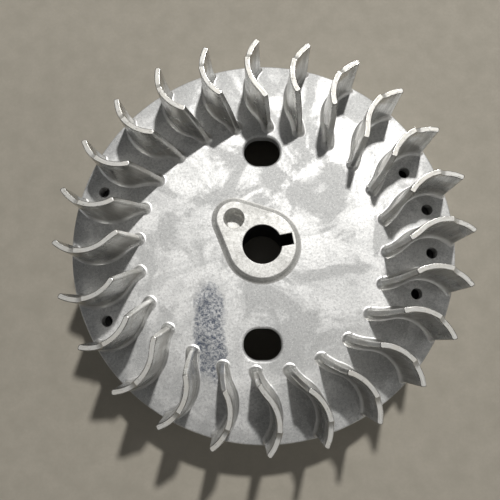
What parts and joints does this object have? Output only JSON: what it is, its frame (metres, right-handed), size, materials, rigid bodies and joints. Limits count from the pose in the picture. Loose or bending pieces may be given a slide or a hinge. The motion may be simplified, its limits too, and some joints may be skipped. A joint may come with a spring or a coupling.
{
  "type": "flywheel",
  "caption": "Bare die-cast small-engine flywheel with a ring of curved fan blades, raised teardrop hub with keyed tapered bore, and magnets inside a deep skirt.",
  "frame": {"origin": "on the crankshaft axis, in the plane of the skirt's open edge that the part stands on", "axes": "+Z along the crankshaft axis towards the fan blades; +X towards the key slot side and the four rim holes; +Y towards one of the two oblong web windows"},
  "size_m": [0.2402, 0.2402, 0.0896],
  "materials": {
    "cast_aluminium": "bright bead-blasted die casting, satin with mottled patches",
    "hub_alloy": "faced, fine matte grain",
    "yoke_steel": "plain rolled steel ring",
    "pole_steel": "laminated steel, machined flush",
    "ferrite": "matte dark ferrite",
    "weight_iron": "rough cast iron"
  },
  "bodies": {
    "root": {"casting_web": "cast_aluminium", "casting_skirt": "cast_aluminium", "hub": "hub_alloy", "fan_blade_01": "cast_aluminium", "fan_blade_02": "cast_aluminium", "fan_blade_03": "cast_aluminium", "fan_blade_04": "cast_aluminium", "fan_blade_05": "cast_aluminium", "fan_blade_06": "cast_aluminium", "fan_blade_07": "cast_aluminium", "fan_blade_08": "cast_aluminium", "fan_blade_09": "cast_aluminium", "fan_blade_10": "cast_aluminium", "fan_blade_11": "cast_aluminium", "fan_blade_12": "cast_aluminium", "fan_blade_13": "cast_aluminium", "fan_blade_14": "cast_aluminium", "fan_blade_15": "cast_aluminium", "fan_blade_16": "cast_aluminium", "fan_blade_17": "cast_aluminium", "fan_blade_18": "cast_aluminium", "fan_blade_19": "cast_aluminium", "fan_blade_20": "cast_aluminium", "fan_blade_21": "cast_aluminium", "fan_blade_22": "cast_aluminium", "fan_blade_23": "cast_aluminium", "fan_blade_24": "cast_aluminium", "yoke_ring": "yoke_steel", "charge_magnet_01": "ferrite", "charge_magnet_02": "ferrite", "charge_magnet_03": "ferrite", "charge_magnet_04": "ferrite", "charge_magnet_05": "ferrite", "charge_magnet_06": "ferrite", "charge_magnet_07": "ferrite", "charge_magnet_08": "ferrite", "charge_magnet_09": "ferrite", "charge_magnet_10": "ferrite", "charge_magnet_11": "ferrite", "charge_magnet_12": "ferrite", "ignition_magnet": "ferrite", "pole_shoe_lead": "pole_steel", "pole_shoe_trail": "pole_steel", "counterweight": "weight_iron"}
  },
  "joints": []
}
